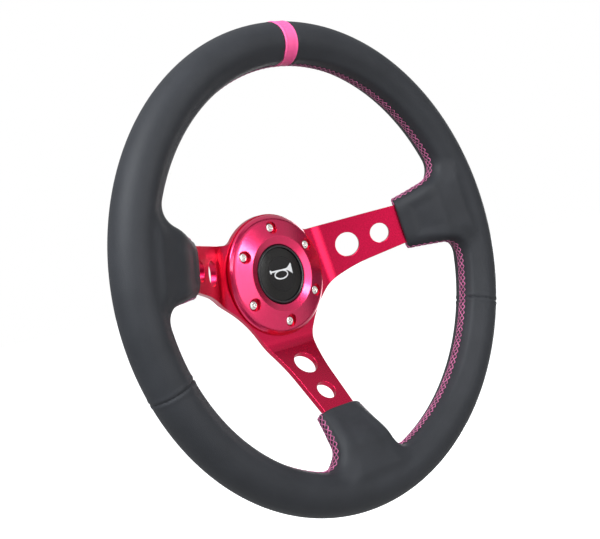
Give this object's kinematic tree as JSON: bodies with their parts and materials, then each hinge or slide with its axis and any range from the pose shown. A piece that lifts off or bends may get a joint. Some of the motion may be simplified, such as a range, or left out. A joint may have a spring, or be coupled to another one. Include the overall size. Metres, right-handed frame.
{
  "type": "steering wheel",
  "caption": "Deep-dish steering wheel with drilled metal spokes, a stitched leather rim, a turned horn ring and a sprung horn button, bolted to a steering boss.",
  "frame": {"origin": "centre of the hub's back face, where the wheel meets the steering boss", "axes": "+Z towards 12 o'clock, +Y out of the hub's back face along the steering column, -Y towards the driver, +X towards 3 o'clock"},
  "size_m": [0.35, 0.0906, 0.35],
  "materials": {
    "anodised_plate": "satin anodised",
    "anodised_ring": "bright anodised",
    "core_steel": "mill",
    "rivet_steel": "satin",
    "rim_foam": "moulded foam",
    "rim_leather": "fine grain",
    "mark_leather": "smooth",
    "lacing_thread": "twisted thread",
    "screw_steel": "bright",
    "black_plastic": "gloss",
    "cap_plastic": "satin",
    "emblem_print": "printed",
    "gasket_rubber": "moulded",
    "spring_steel": "drawn",
    "contact_brass": "stamped",
    "base_plastic": "moulded",
    "terminal_tin": "tinned"
  },
  "bodies": {
    "wheel": {"spoke_plate": "anodised_plate", "rim_core": "core_steel", "core_rivets": "rivet_steel", "rim_foam": "rim_foam", "leather_upper_left": "rim_leather", "leather_upper_right": "rim_leather", "leather_lower": "rim_leather", "centre_mark": "mark_leather", "lacing_upper": "lacing_thread", "lacing_lower_left": "lacing_thread", "lacing_lower_right": "lacing_thread", "trim_ring": "anodised_ring", "hub_screws": "screw_steel", "horn_housing": "black_plastic", "housing_gasket": "gasket_rubber", "retaining_ring": "spring_steel", "horn_bezel": "black_plastic", "centre_contact": "contact_brass", "spring_seat": "contact_brass", "horn_spring": "spring_steel", "horn_base": "base_plastic", "horn_terminals": "terminal_tin"},
    "horn_button": {"horn_cap": "cap_plastic", "cap_emblem": "emblem_print", "contact_disc": "contact_brass", "disc_pin": "contact_brass"}
  },
  "joints": [
    {"name": "horn_press", "type": "slide", "parent": "wheel", "child": "horn_button", "axis": [0, 1, 0], "range_m": [0, 0.002], "stiffness_N_per_m": 1500, "springref_m": -0.002, "deforming": ["horn_spring"]}
  ]
}
